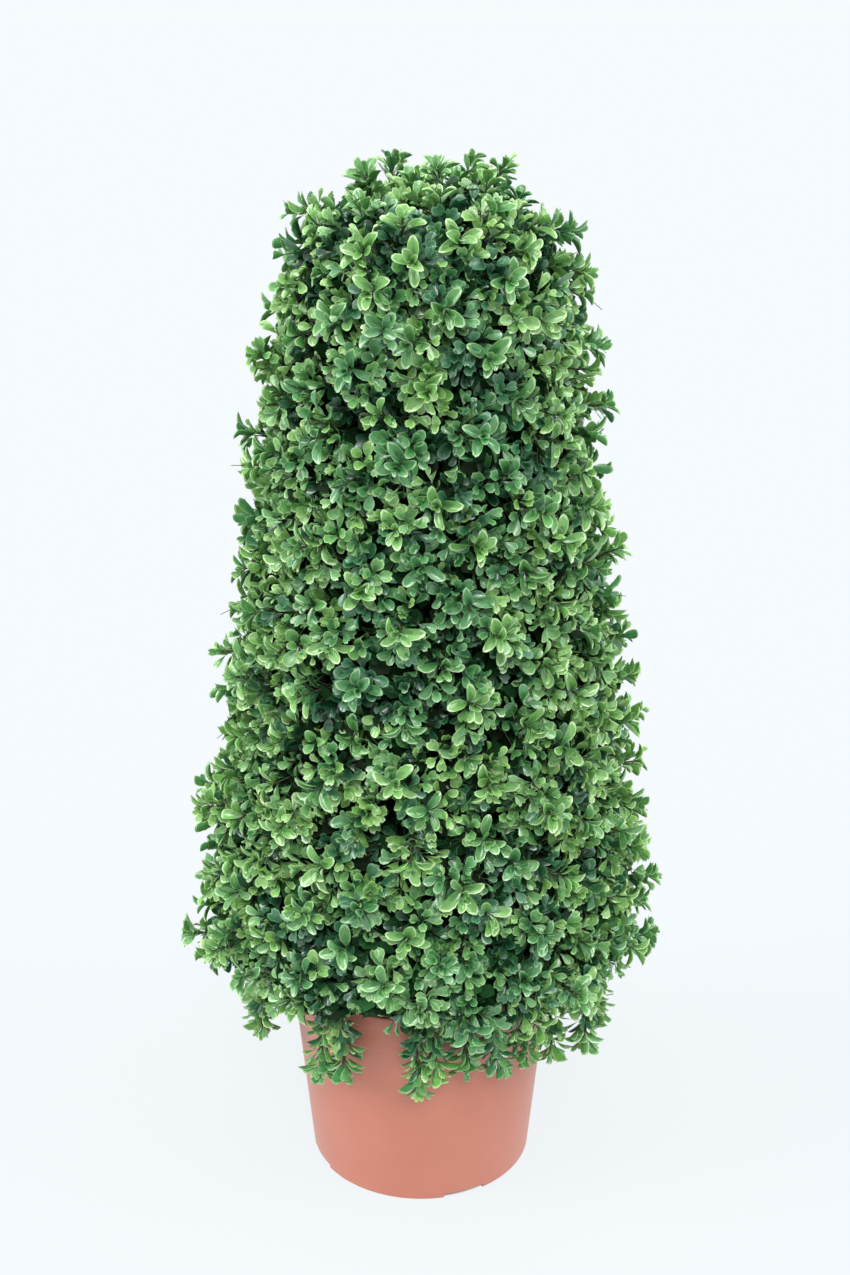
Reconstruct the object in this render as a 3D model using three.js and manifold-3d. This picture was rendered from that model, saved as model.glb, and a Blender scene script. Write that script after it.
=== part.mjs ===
// A clipped boxwood cone in a nursery pot: an artificial plant, 0.9 m tall.
// Millimetres, +Z up, -Y the front. The origin is the centre of the pot's underside, on the ground.

import * as THREE from "three";
import { mergeVertices } from "three/addons/utils/BufferGeometryUtils.js";
import Module from "manifold-3d";

const wasm = await Module();
wasm.setup();

const degrees = THREE.MathUtils.degToRad;
const lerp = THREE.MathUtils.lerp;

// ---------------------------------------------------------------- driving sizes

const touchGap = 0.3; // between pieces that touch
const goldenAngle = Math.PI * (3 - Math.sqrt(5));
const seed = 20;

const pot = {
  height: 200,
  footRadius: 101.5,
  slope: Math.tan(degrees(5.4)),
  wall: 2.6,
  edgeRound: 1.2,
  floorLift: 5, // the floor's underside stands clear of the ground on the foot ring
  floorThickness: 3,
  footRingWidth: 9,
  bandHeight: 163,
  bandStep: 0.9,
  lipHeight: 187,
  lipStep: 1.6,
  lipRise: 1, // over which the lip steps out
  sides: 72,
  notchCount: 4,
  notchHeight: 4.5,
  notchSpan: degrees(22),
  firstNotch: degrees(23), // from the front towards +X
};

const fill = {
  edgeHeight: 176,
  centreHeight: 184,
  flatRadius: 30, // level ground for the stem's foot
  sides: 36,
};

const stem = {
  topHeight: 320,
  footRadius: 22,
  flareRadius: 16, // a third of the way up the flare
  flareHeight: 18,
  radius: 13,
  topRadius: 11,
  wellClearance: 3, // between the stem and the core that it stands in
  sides: 20,
};

const crown = {
  // The clipped surface in section, as radius and height, from the top down.
  topFlat: [30, 898],
  shoulderCorner: [118, 891],
  shoulder: [128, 806],
  widest: [206, 240],
  hemCorner: [204, 190],
  hem: [142, 178],
  lean: Math.tan(degrees(0.55)), // towards +X, from the fill upwards
  leafLayer: 33, // how far the sprays stand out of the core
  strayReach: 17, // how far a stray tip may pass the clipped surface
  reachSlack: 2,
  potClearance: 3,
  lowestTip: 112,
  highestTip: 900,
  coreSides: 24,
  coreRings: 11,
  coreLumps: 6, // how far the core's corners stand in or out
};

const leaf = {
  length: 56,
  width: 30,
  rootDepth: 2.6,
  widestShare: 0.56,
  cup: 1.8, // how far the edges stand above the midrib
  angleSpread: degrees(7),
  lengthSpread: 0.1,
};

const twig = {
  radius: 3.2,
  tipRadius: 1.9,
  sunk: 9, // how deep it starts inside the core
};

// Each whorl: how far it lies below the spray's tip, how far its leaves open, and their size.
const cover = {
  count: 88,
  length: 10,
  lengthSpread: 4,
  turnSpread: degrees(2.3),
  sideTilt: 0.3,
  upTilt: 0.2,
  upTiltSpread: 0.25,
  whorls: [
    { below: 7, angle: degrees(72), size: 1 },
    { below: 0, angle: degrees(48), size: 0.75 },
  ],
};

const skirt = {
  count: 12,
  radius: 147,
  startHeight: 226,
  flare: 0.1,
  length: 62,
  lengthSpread: 12,
  turnSpread: degrees(6),
  whorls: [
    { below: 26, angle: degrees(60), size: 0.7 },
    { below: 12, angle: degrees(50), size: 0.65 },
    { below: 0, angle: degrees(26), size: 0.5 },
  ],
};

const strays = {
  count: 8,
  rise: 14, // above the crown's widest height
  riseSpread: 8,
  tipLeafReach: 28,
  whorls: [
    { below: 10, angle: degrees(52), size: 0.6 },
    { below: 0, angle: degrees(24), size: 0.45 },
  ],
};

// ---------------------------------------------------------------- colours

const finishes = {
  pot: { color: 0xc9826f, roughness: 0.45, metalness: 0 },
  pot_fill: { color: 0x241f1a, roughness: 0.95, metalness: 0 },
  stem: { color: 0x4a3a2a, roughness: 0.8, metalness: 0 },
  foliage: { color: 0x4f8a3c, roughness: 0.5, metalness: 0 },
};

// ---------------------------------------------------------------- helpers

function seededRandom(start) {
  let state = start;
  return () => {
    state = (state + 0x6d2b79f5) | 0;
    let mixed = Math.imul(state ^ (state >>> 15), 1 | state);
    mixed = (mixed + Math.imul(mixed ^ (mixed >>> 7), 61 | mixed)) ^ mixed;
    return ((mixed ^ (mixed >>> 14)) >>> 0) / 4294967296;
  };
}

const random = seededRandom(seed);
const spread = (amount) => (random() * 2 - 1) * amount;

// Positions only, shared vertices merged, and no triangle that has shrunk to a line.
function closedGeometry(geometry) {
  const bare = geometry.clone();
  bare.deleteAttribute("normal");
  bare.deleteAttribute("uv");
  const merged = mergeVertices(bare, 1e-4);
  const corners = [];
  for (let i = 0; i < merged.index.count; i += 3) {
    const [a, b, c] = merged.index.array.slice(i, i + 3);
    if (a !== b && b !== c && c !== a) corners.push(a, b, c);
  }
  merged.setIndex(corners);
  return merged;
}

function toSolid(geometry) {
  const closed = closedGeometry(geometry);
  return new wasm.Manifold(
    new wasm.Mesh({
      numProp: 3,
      vertProperties: new Float32Array(closed.attributes.position.array),
      triVerts: new Uint32Array(closed.index.array),
    }),
  );
}

// Joins neighbours two by two, so that no single join has to carry the whole crown.
function joined(solids) {
  let layer = solids;
  while (layer.length > 1) {
    const next = [];
    for (let i = 0; i < layer.length; i += 2) {
      next.push(i + 1 < layer.length ? layer[i].add(layer[i + 1]) : layer[i]);
    }
    layer = next;
  }
  return layer[0];
}

function toGeometry(solid) {
  const { vertProperties, triVerts } = solid.getMesh();
  const geometry = new THREE.BufferGeometry();
  geometry.setAttribute("position", new THREE.BufferAttribute(vertProperties, 3));
  geometry.setIndex(new THREE.BufferAttribute(triVerts, 1));
  return geometry;
}

// Keeps the largest shell: loose scraps are dropped and sealed hollows are filled.
function largestShell(geometry) {
  const corners = geometry.index.array;
  const parent = Array.from({ length: geometry.attributes.position.count }, (_, i) => i);
  const find = (i) => {
    while (parent[i] !== i) {
      parent[i] = parent[parent[i]];
      i = parent[i];
    }
    return i;
  };
  for (let i = 0; i < corners.length; i += 3) {
    parent[find(corners[i])] = find(corners[i + 1]);
    parent[find(corners[i + 1])] = find(corners[i + 2]);
  }
  const shells = new Map();
  for (let i = 0; i < corners.length; i += 3) {
    const root = find(corners[i]);
    if (!shells.has(root)) shells.set(root, []);
    shells.get(root).push(corners[i], corners[i + 1], corners[i + 2]);
  }
  const largest = [...shells.values()].sort((a, b) => b.length - a.length)[0];
  const kept = geometry.clone();
  kept.setIndex(largest);
  return closedGeometry(kept.toNonIndexed());
}

// A turned shape about +Z from [radius, height] pairs that start and end on the axis.
function turned(profile, sides) {
  const points = profile.map(([radius, height]) => new THREE.Vector2(radius, height));
  const geometry = new THREE.LatheGeometry(points, sides);
  geometry.rotateX(Math.PI / 2);
  return closedGeometry(geometry);
}

function node(name, geometry) {
  const shown = geometry.toNonIndexed();
  shown.computeVertexNormals();
  const mesh = new THREE.Mesh(shown, new THREE.MeshStandardMaterial(finishes[name]));
  mesh.name = name;
  return mesh;
}

// ---------------------------------------------------------------- pot

const potRadius = (height) => pot.footRadius + pot.slope * height;
const potInside = (height) => potRadius(height) - pot.wall;
const potFloor = pot.floorLift + pot.floorThickness;
const lipRadius = potRadius(pot.height) + pot.lipStep;

function makePot() {
  const { height, edgeRound, floorLift, bandHeight, bandStep, lipHeight, lipStep, lipRise } = pot;
  const ringInside = pot.footRadius - pot.footRingWidth;
  const body = toSolid(
    turned(
      [
        [0, floorLift],
        [ringInside, floorLift],
        [ringInside, 0],
        [pot.footRadius - edgeRound, 0],
        [potRadius(edgeRound), edgeRound],
        [potRadius(bandHeight), bandHeight],
        [potRadius(bandHeight) + bandStep, bandHeight + bandStep],
        [potRadius(lipHeight) + bandStep, lipHeight],
        [potRadius(lipHeight) + lipStep, lipHeight + lipRise],
        [lipRadius, height - edgeRound],
        [lipRadius - edgeRound, height],
        [potInside(height), height],
        [potInside(potFloor), potFloor],
        [0, potFloor],
      ],
      pot.sides,
    ),
  );
  let cut = body;
  for (let i = 0; i < pot.notchCount; i++) {
    const middle = pot.firstNotch + (i * 2 * Math.PI) / pot.notchCount;
    cut = cut.subtract(footNotch(middle));
  }
  return node("pot", toGeometry(cut));
}

// A wedge that clears the foot ring over notchSpan, centred at the angle middle from the front.
function footNotch(middle) {
  const inner = pot.footRadius - 2 * pot.footRingWidth;
  const outer = pot.footRadius + pot.footRingWidth;
  const wedge = new THREE.Shape();
  wedge.absarc(0, 0, outer, -pot.notchSpan / 2, pot.notchSpan / 2, false);
  wedge.absarc(0, 0, inner, pot.notchSpan / 2, -pot.notchSpan / 2, true);
  const below = pot.notchHeight; // the wedge also reaches this far below the ground
  const depth = pot.notchHeight + below;
  const geometry = new THREE.ExtrudeGeometry(wedge, { depth, bevelEnabled: false, curveSegments: 4 });
  geometry.translate(0, 0, -below);
  geometry.rotateZ(middle - Math.PI / 2);
  return toSolid(geometry);
}

// ---------------------------------------------------------------- fill and stem

function makeFill() {
  const bottom = potFloor + touchGap;
  const shape = turned(
    [
      [0, bottom],
      [potInside(bottom) - touchGap, bottom],
      [potInside(fill.edgeHeight) - touchGap, fill.edgeHeight],
      [fill.flatRadius, fill.centreHeight],
      [0, fill.centreHeight],
    ],
    fill.sides,
  );
  return node("pot_fill", shape);
}

function makeStem() {
  const foot = fill.centreHeight + touchGap;
  const shape = turned(
    [
      [0, foot],
      [stem.footRadius, foot],
      [stem.flareRadius, foot + stem.flareHeight / 3],
      [stem.radius, foot + stem.flareHeight],
      [stem.topRadius, stem.topHeight],
      [0, stem.topHeight],
    ],
    stem.sides,
  );
  return node("stem", leaned(shape));
}

// ---------------------------------------------------------------- crown

const leanAt = (height) => crown.lean * (height - fill.centreHeight);

function leaned(geometry) {
  const position = geometry.attributes.position;
  for (let i = 0; i < position.count; i++) {
    position.setX(i, position.getX(i) + leanAt(position.getZ(i)));
  }
  return geometry;
}

// The clipped surface in section, from the hem up to the middle of the top.
const surface = new THREE.Path();
surface.moveTo(...crown.hem);
surface.quadraticCurveTo(...crown.hemCorner, ...crown.widest);
surface.lineTo(...crown.shoulder);
surface.quadraticCurveTo(...crown.shoulderCorner, ...crown.topFlat);
surface.lineTo(0, crown.topFlat[1]);

const sectionSteps = 240;
const section = Array.from({ length: sectionSteps + 1 }, (_, i) => {
  const at = i / sectionSteps;
  const point = surface.getPointAt(at);
  const along = surface.getTangentAt(at);
  return { radius: point.x, height: point.y, out: new THREE.Vector2(along.y, -along.x) };
});

const coreSection = section.map(({ radius, height, out }) => ({
  radius: Math.max(radius - out.x * crown.leafLayer, 0),
  height: height - out.y * crown.leafLayer,
  out,
}));

// The crown's surface from the hem up to each step, so that sprays can stand evenly on it.
// The section's steps are all of one length, so only the radius counts.
const areaBelow = section.map(() => 0);
for (let i = 1; i <= sectionSteps; i++) {
  areaBelow[i] = areaBelow[i - 1] + section[i].radius + section[i - 1].radius;
}
const stepAtShare = (share) => areaBelow.findIndex((area) => area >= share * areaBelow[sectionSteps]);

function surfaceRadius(height) {
  if (height < crown.widest[1]) return crown.widest[0];
  const above = section.find((point) => point.height >= height);
  return above ? above.radius : crown.topFlat[0];
}

// True where a leaf may be: within reach, and clear of the pot.
function isFree(point) {
  const radius = Math.hypot(point.x - leanAt(point.z), point.y);
  const abovePot = point.z > pot.height + crown.potClearance;
  const besidePot = Math.hypot(point.x, point.y) > lipRadius + crown.potClearance;
  const inReach = radius < surfaceRadius(point.z) + crown.strayReach + crown.reachSlack;
  const inHeight = point.z > crown.lowestTip && point.z < crown.highestTip;
  return (abovePot || besidePot) && inReach && inHeight;
}

// Moves each corner of the core along its own radius, except on its underside and its top.
function lumpy(geometry) {
  const position = geometry.attributes.position;
  for (let i = 0; i < position.count; i++) {
    const radius = Math.hypot(position.getX(i), position.getY(i));
    const onUnderside = position.getZ(i) < coreSection[0].height + touchGap;
    if (onUnderside || radius < crown.topFlat[0]) continue;
    const grown = 1 + spread(crown.coreLumps) / radius;
    position.setXY(i, position.getX(i) * grown, position.getY(i) * grown);
  }
  return geometry;
}

function makeCore() {
  const profile = [[0, coreSection[0].height]];
  for (let i = 0; i <= crown.coreRings; i++) {
    const { radius, height } = coreSection[Math.round((i / crown.coreRings) * sectionSteps)];
    profile.push([radius, height]);
  }
  const core = toSolid(lumpy(leaned(turned(profile, crown.coreSides))));
  const wellRadius = stem.footRadius + stem.wellClearance;
  const well = turned(
    [
      [0, pot.height],
      [wellRadius, pot.height],
      [stem.radius + stem.wellClearance, stem.topHeight + touchGap],
      [0, stem.topHeight + touchGap],
    ],
    stem.sides,
  );
  return core.subtract(toSolid(leaned(well)));
}

// A leaf grows from three corners of its twig: left and right on its upper side, keel below.
// Its own three corners are its two widest points and its tip, which makes eight faces.
function leafCorners(left, right, axis, upper, length) {
  const base = left.clone().lerp(right, 0.5);
  const side = new THREE.Vector3().crossVectors(upper, axis);
  const half = (leaf.width / 2) * (length / leaf.length);
  const middle = base.clone().addScaledVector(axis, leaf.widestShare * length);
  const raised = middle.addScaledVector(upper, leaf.cup);
  return [
    raised.clone().addScaledVector(side, half),
    raised.clone().addScaledVector(side, -half),
    base.clone().addScaledVector(axis, length).addScaledVector(upper, -leaf.cup),
  ];
}

// A spray from start along direction: a three-sided twig that turns half a step at each whorl,
// and whorls of three leaves, one from each side.
function spray(start, direction, length, whorls) {
  const place = new THREE.Matrix4().compose(
    start,
    new THREE.Quaternion().setFromUnitVectors(new THREE.Vector3(0, 0, 1), direction),
    new THREE.Vector3(1, 1, 1),
  );
  const corners = [];
  const faces = [];
  const add = (corner) => corners.push(corner) - 1;
  const ring = (radius, height, turn) =>
    [0, 1, 2].map((i) => {
      const at = turn + (i * 2 * Math.PI) / 3;
      return add(new THREE.Vector3(Math.cos(at) * radius, Math.sin(at) * radius, height));
    });

  let turn = random() * Math.PI;
  let low = ring(twig.radius, 0, turn);
  faces.push([low[0], low[2], low[1]]);
  whorls.forEach(({ below, angle, size }, level) => {
    turn += Math.PI / 3;
    const radius = lerp(twig.radius, twig.tipRadius, (level + 1) / whorls.length);
    const high = ring(radius, length - below, turn);
    for (let i = 0; i < 3; i++) {
      const [right, left, foot] = [high[i], high[(i + 1) % 3], low[(i + 1) % 3]];
      const edge = corners[left].clone().lerp(corners[right], 0.5);
      const depth = leaf.rootDepth / edge.distanceTo(corners[foot]);
      const keel = add(edge.lerp(corners[foot], depth));
      faces.push([low[i], foot, right], [foot, left, keel], [foot, keel, right]);

      const facing = turn + (i + 0.5) * ((2 * Math.PI) / 3);
      const outward = new THREE.Vector3(Math.cos(facing), Math.sin(facing), 0);
      const lift = angle + spread(leaf.angleSpread);
      const axis = outward.clone().multiplyScalar(Math.sin(lift)).setZ(Math.cos(lift));
      const upper = outward.clone().multiplyScalar(-Math.cos(lift)).setZ(Math.sin(lift));
      const reach = leaf.length * size * (1 + spread(leaf.lengthSpread));
      const own = leafCorners(corners[left], corners[right], axis, upper, reach);
      const middle = corners[left].clone().lerp(own[2], 0.5);
      if ([middle, ...own].every((corner) => isFree(corner.clone().applyMatrix4(place)))) {
        const [wideLeft, wideRight, tip] = own.map(add);
        faces.push([left, tip, wideLeft], [right, wideRight, tip], [left, right, tip]);
        faces.push([left, wideLeft, keel], [right, keel, wideRight]);
        faces.push([keel, wideLeft, tip], [keel, tip, wideRight]);
      } else {
        faces.push([left, right, keel]);
      }
    }
    low = high;
  });
  faces.push(low);

  const geometry = new THREE.BufferGeometry().setFromPoints(corners);
  geometry.setIndex(faces.flat());
  return toSolid(geometry.applyMatrix4(place));
}

const outwardAt = (azimuth) => new THREE.Vector3(Math.sin(azimuth), -Math.cos(azimuth), 0);

function crownPoint(azimuth, radius, height) {
  return outwardAt(azimuth).multiplyScalar(radius).add(new THREE.Vector3(leanAt(height), 0, height));
}

// Short sprays that cover the core evenly, on a spiral of golden angles.
function makeCover() {
  return Array.from({ length: cover.count }, (_, i) => {
    const { radius, height, out } = coreSection[stepAtShare((i + 0.5) / cover.count)];
    const azimuth = i * goldenAngle + spread(cover.turnSpread);
    const normal = outwardAt(azimuth).multiplyScalar(out.x).add(new THREE.Vector3(0, 0, out.y));
    const start = crownPoint(azimuth, radius, height).addScaledVector(normal, -twig.sunk);
    const up = cover.upTilt + spread(cover.upTiltSpread);
    const tilt = new THREE.Vector3(spread(cover.sideTilt), spread(cover.sideTilt), up);
    const length = twig.sunk + cover.length + spread(cover.lengthSpread);
    return spray(start, normal.add(tilt).normalize(), length, cover.whorls);
  });
}

// Long sprays that hang from the hem past the pot's rim.
function makeSkirt() {
  return Array.from({ length: skirt.count }, (_, i) => {
    const azimuth = (i * 2 * Math.PI) / skirt.count + spread(skirt.turnSpread);
    const start = crownPoint(azimuth, skirt.radius, skirt.startHeight);
    const direction = outwardAt(azimuth).multiplyScalar(skirt.flare).add(new THREE.Vector3(0, 0, -1));
    const length = skirt.length + spread(skirt.lengthSpread);
    return spray(start, direction.normalize(), length, skirt.whorls);
  });
}

// Straight shoots that the shears missed, around the widest part.
function makeStrays() {
  return Array.from({ length: strays.count }, (_, i) => {
    const azimuth = (i * 2 * Math.PI) / strays.count;
    const [widestRadius, widestHeight] = crown.widest;
    const height = widestHeight + strays.rise + spread(strays.riseSpread);
    const start = crownPoint(azimuth, widestRadius - crown.leafLayer - twig.sunk, height);
    const length = twig.sunk + crown.leafLayer + crown.strayReach - strays.tipLeafReach;
    return spray(start, outwardAt(azimuth), length, strays.whorls);
  });
}

function makeFoliage() {
  const solids = [makeCore(), ...makeCover(), ...makeSkirt(), ...makeStrays()];
  return node("foliage", largestShell(toGeometry(joined(solids))));
}

// ---------------------------------------------------------------- the plant

const plant = new THREE.Group();
plant.name = "boxwood_cone";
plant.add(makePot(), makeFill(), makeStem(), makeFoliage());

export default plant;
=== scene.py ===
import math

import bpy
import numpy as np
from mathutils.kdtree import KDTree
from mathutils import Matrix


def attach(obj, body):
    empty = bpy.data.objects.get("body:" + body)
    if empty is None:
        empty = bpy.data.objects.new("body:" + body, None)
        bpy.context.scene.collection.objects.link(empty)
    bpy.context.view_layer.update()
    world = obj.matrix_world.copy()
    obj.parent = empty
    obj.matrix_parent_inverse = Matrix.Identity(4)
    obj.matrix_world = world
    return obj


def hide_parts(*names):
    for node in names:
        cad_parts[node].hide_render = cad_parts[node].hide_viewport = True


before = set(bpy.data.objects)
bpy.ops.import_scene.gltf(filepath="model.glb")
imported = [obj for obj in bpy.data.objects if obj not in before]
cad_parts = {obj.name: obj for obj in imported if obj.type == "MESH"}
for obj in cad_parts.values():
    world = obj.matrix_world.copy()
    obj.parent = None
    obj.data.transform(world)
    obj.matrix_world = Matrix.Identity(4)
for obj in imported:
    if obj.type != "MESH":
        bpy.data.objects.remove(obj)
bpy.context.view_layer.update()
scene = bpy.context.scene

# ---- sizes, as the source has them

FULL_TURN = 2 * math.pi
QUARTER_TURN = math.pi / 2
GOLDEN_ANGLE = math.pi * (3 - math.sqrt(5))
UP = np.array([0.0, 0.0, 1.0])
SEED = 20
random = np.random.default_rng(SEED)

POT_HEIGHT = 0.200
POT_FOOT_RADIUS = 0.1015
POT_SLOPE = math.tan(math.radians(5.4))
POT_WALL = 0.0026
POT_EDGE = 0.0012
FLOOR_LIFT = 0.005
FLOOR_THICKNESS = 0.003
FOOT_RING_WIDTH = 0.009
BAND_HEIGHT = 0.163
BAND_STEP = 0.0009
LIP_HEIGHT = 0.187
LIP_STEP = 0.0016
NOTCH_COUNT = 4
NOTCH_HEIGHT = 0.0045
NOTCH_SPAN = math.radians(22)
FIRST_NOTCH = math.radians(23)

FILL_EDGE_HEIGHT = 0.176
FILL_CENTRE_HEIGHT = 0.184

STEM_FOOT_RADIUS = 0.022
STEM_FLARE_HEIGHT = 0.018
STEM_RADIUS = 0.013
TOUCH_GAP = 0.0003

# The clipped surface in section, as radius and height.
HEM = (0.142, 0.178)
HEM_CORNER = (0.196, 0.195)
WIDEST = (0.206, 0.240)
SHOULDER = (0.128, 0.806)
SHOULDER_CORNER = (0.118, 0.891)
TOP_FLAT = (0.030, 0.898)
LEAN = math.tan(math.radians(0.55))
STRAY_REACH = 0.017
POT_CLEARANCE = 0.003
LOWEST_TIP = 0.112
HIGHEST_TIP = 0.907
TOP_EDGE = 0.885

# ---- small helpers


def unit(vectors):
    return vectors / np.maximum(np.linalg.norm(vectors, axis=-1, keepdims=True), 1e-9)


def lean_at(height):
    return LEAN * (height - FILL_CENTRE_HEIGHT)


def pot_radius(height):
    return POT_FOOT_RADIUS + POT_SLOPE * height


lip_radius = pot_radius(POT_HEIGHT) + LIP_STEP


def bend(start, corner, end, steps=60):
    share = np.linspace(0, 1, steps)[:, None]
    start, corner, end = (np.array(point) for point in (start, corner, end))
    return start * (1 - share) ** 2 + corner * 2 * share * (1 - share) + end * share**2


def around(turn):
    """The outward direction at an angle from the front towards +X."""
    return np.stack([np.sin(turn), -np.cos(turn), np.zeros_like(turn)], axis=-1)


def at_turn(turn, radius, height):
    return around(turn) * radius[:, None] + UP * height[:, None]


def even_turns(count):
    return np.arange(count) * FULL_TURN / count


def scatter(reach, count):
    return random.uniform(-reach, reach, (count, 3))


def opened(along, turn, degrees):
    """What opens from each row, at a turn round it: the way aside, the angle and the new direction."""
    helper = np.where(np.abs(along[:, 2:3]) < 0.9, UP, [1.0, 0.0, 0.0])
    side = unit(np.cross(helper, along))
    aside = side * np.cos(turn)[:, None] + np.cross(along, side) * np.sin(turn)[:, None]
    angle = np.radians(degrees)[:, None]
    return aside, angle, unit(along * np.cos(angle) + aside * np.sin(angle))


def listed(rows):
    """The columns of a list of places, whose first is a turn in degrees."""
    turn, *others = np.array(rows).T
    return np.radians(turn), *others


# ---- the clipped surface

SECTION_STEPS = 600
TURN_JITTER = math.radians(9)


def clipped_section():
    """Equal steps from the hem up to the middle of the top: radius, height, outward and the area below."""
    path = np.vstack(
        [bend(HEM, HEM_CORNER, WIDEST), bend(SHOULDER, SHOULDER_CORNER, TOP_FLAT), [(0, TOP_FLAT[1])]]
    )
    length = np.concatenate([[0], np.cumsum(np.linalg.norm(np.diff(path, axis=0), axis=1))])
    at = np.linspace(0, length[-1], SECTION_STEPS + 1)
    radius = np.interp(at, length, path[:, 0])
    height = np.interp(at, length, path[:, 1])
    out_radius = np.gradient(height, at)
    out_height = -np.gradient(radius, at)
    area = np.concatenate([[0], np.cumsum(radius[1:] + radius[:-1])])
    return radius, height, out_radius, out_height, area / area[-1]


*section, section_share = clipped_section()
section_radius, section_height = section[:2]


def evenly(count, jitter=0.0):
    """A golden-angle spiral with equal areas: shares, turns, points of the surface and its outwards."""
    number = np.arange(count)
    share = (number + 0.5 + random.uniform(-jitter, jitter, count)) / count
    turn = number * GOLDEN_ANGLE + random.uniform(-jitter, jitter, count) * TURN_JITTER
    share = np.clip(share, 0, 1)
    radius, height, out_r, out_z = (np.interp(share, section_share, values) for values in section)
    outward = around(turn)
    point = outward * radius[:, None]
    point[:, 0] += lean_at(height)
    point[:, 2] = height
    out = outward * out_r[:, None]
    out[:, 2] = out_z
    return share, turn, point, unit(out)


def reach_at(height):
    """The clipped surface's radius at a height, with the widest radius below it."""
    above = section_height >= WIDEST[1]
    radius = np.interp(np.minimum(height, TOP_EDGE), section_height[above], section_radius[above])
    return np.where(height < WIDEST[1], WIDEST[0], radius)


def is_free(points):
    """True where a leaf may be: within reach, and clear of the pot."""
    height = points[..., 2]
    radius = np.hypot(points[..., 0] - lean_at(height), points[..., 1])
    above_pot = height > POT_HEIGHT + POT_CLEARANCE
    beside_pot = np.hypot(points[..., 0], points[..., 1]) > lip_radius + POT_CLEARANCE
    within = (radius < reach_at(height) + STRAY_REACH) & (height > LOWEST_TIP) & (height < HIGHEST_TIP)
    return (above_pot | beside_pot) & within


# ---- limbs: cubic curves, all at once

HANDLE_SHARE = 0.35


class Limbs:
    """Cubic curves from start to end that leave and arrive in given directions."""

    def __init__(self, start, leave, end, arrive, arrive_share=HANDLE_SHARE):
        span = np.linalg.norm(end - start, axis=1, keepdims=True)
        self.a = start
        self.b = start + leave * span * HANDLE_SHARE
        self.c = end - arrive * span * arrive_share
        self.d = end
        self.length = np.linalg.norm(np.diff(self.points(9), axis=1), axis=2).sum(axis=1)

    def at(self, share):
        """Points and directions, at one share for all limbs or one for each."""
        s = np.asarray(share, float).reshape(-1, 1)
        r = 1 - s
        point = self.a * r**3 + self.b * 3 * r * r * s + self.c * 3 * r * s * s + self.d * s**3
        slope = (self.b - self.a) * r * r + (self.c - self.b) * 2 * r * s + (self.d - self.c) * s * s
        return point, unit(slope)

    def points(self, count):
        return np.stack([self.at(share)[0] for share in np.linspace(0, 1, count)], axis=1)

    def below_tip(self, distance):
        return self.at(np.clip(1 - distance / self.length, 0, 1))


def nearest(targets, candidates):
    """For each target, the number of the closest candidate point."""
    tree = KDTree(len(candidates))
    for number, point in enumerate(candidates):
        tree.insert(point, number)
    tree.balance()
    return np.array([tree.find(point)[1] for point in targets])


def grow_from(parents, targets, steps, lowest_share, highest_share):
    """Where each target's limb leaves the nearest parent: the point and the parent's direction there."""
    places = [parents.at(share) for share in np.linspace(lowest_share, highest_share, steps)]
    points, slopes = (np.concatenate(part) for part in zip(*places))
    found = nearest(targets, points)
    return points[found], slopes[found]


# ---- trunk, boughs, sprays and twigs

TRUNK_TOP = 0.850
BOUGH_COUNT = 88
BOUGH_DEPTH = 0.046
BOUGH_DROP = 0.10
BOUGH_SLOPE = 0.35
BOUGH_RISE = 0.7
BOUGH_SAG = 0.1
LOWEST_BOUGH = 0.31

_, bough_turn, bough_tip, bough_out = evenly(BOUGH_COUNT)
bough_tip = bough_tip - bough_out * BOUGH_DEPTH
bough_foot_height = bough_tip[:, 2] - BOUGH_DROP - BOUGH_SLOPE * np.hypot(*bough_tip[:, :2].T)
bough_foot_height = np.clip(bough_foot_height, LOWEST_BOUGH, TRUNK_TOP)
bough_foot = np.stack([lean_at(bough_foot_height), 0 * bough_foot_height, bough_foot_height], axis=1)
boughs = Limbs(
    bough_foot,
    unit(around(bough_turn) + BOUGH_RISE * UP),
    bough_tip,
    unit(bough_out - BOUGH_SAG * UP),
)

HEM_HEIGHT = 0.209
HEM_WAVE = 0.012
OPENING_TURN = math.radians(-13)
OPENING_WIDTH = math.radians(8.5)
OPENING_RISE = 0.050


def hem_line(turn):
    """How low the clipped cover hangs at each turn: it opens a little left of the front."""
    wave = np.cos(turn - math.radians(28)) + 0.5 * np.cos(3 * turn + 1.0) + 0.3 * np.cos(7 * turn + 2.0)
    from_opening = np.abs((turn - OPENING_TURN + math.pi) % FULL_TURN - math.pi)
    return HEM_HEIGHT - HEM_WAVE * wave + OPENING_RISE * np.exp(-(from_opening / OPENING_WIDTH) ** 2)


def below_hem(tip, turn, margin):
    return tip[:, 2] < hem_line(turn) + margin


DROOP = 0.36
DROOP_END = 0.86
DROOP_RANGE = 0.30


def drooping(points):
    """How far stems that leave the crown here bend down: less and less towards its top."""
    return UP * DROOP * np.clip((DROOP_END - points[:, 2:3]) / DROOP_RANGE, 0, 1)


INSETS = [
    # height, spread and depth: where the top rounds over, and just above the hem
    (0.850, 0.05, 0.008),
    (0.195, 0.03, 0.004),
]


def inset(points):
    """How much deeper than elsewhere the cover lies at these points."""
    return sum(depth * np.exp(-((points[:, 2] - height) / spread) ** 2) for height, spread, depth in INSETS)


# Sprays of the cover: stems that end in a rosette of pointed leaves. Some stand out with their twigs.
SPRAY_COUNT = 350
SPRAY_DEPTH = 0.0092
SPRAY_DEPTH_SPREAD = 0.005
SPRAY_DEPTH_RANGE = (-0.009, 0.022)
SPRAY_HEM_MARGIN = 0.012
BOLD_SHARE = 0.22
BOLD_REACH = (0.003, 0.009)
BOLD_DEPTH = -0.004
TOP_SHARE = 0.93
TOP_DEPTHS = (0.003, 0.014)
COVER_SCATTER = 0.35

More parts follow.
